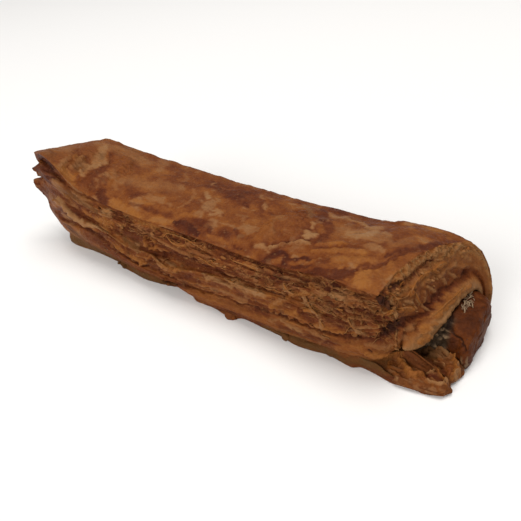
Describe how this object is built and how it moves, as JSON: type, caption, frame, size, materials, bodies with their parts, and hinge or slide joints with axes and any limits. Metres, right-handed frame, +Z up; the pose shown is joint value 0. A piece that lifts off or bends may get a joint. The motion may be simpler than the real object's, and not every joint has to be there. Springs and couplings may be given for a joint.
{
  "type": "sausage roll",
  "caption": "Baked sausage roll in layered puff pastry, folded along the back, layers open along the front, with the sausage meat filling showing at the open end.",
  "frame": {"origin": "middle of the whole's footprint, on the plane it rests on", "axes": "+X along the roll towards the open end with the filling, +Y towards the folded back, away from the layered front, +Z up"},
  "size_m": [0.1934, 0.0456, 0.0408],
  "materials": {
    "pastry": "baked, egg glazed puff pastry, golden to red brown, half gloss on top",
    "filling": "cooked sausage meat, browned where it shows, slightly moist"
  },
  "bodies": {
    "root": {"pastry": "pastry", "filling": "filling"}
  },
  "joints": []
}
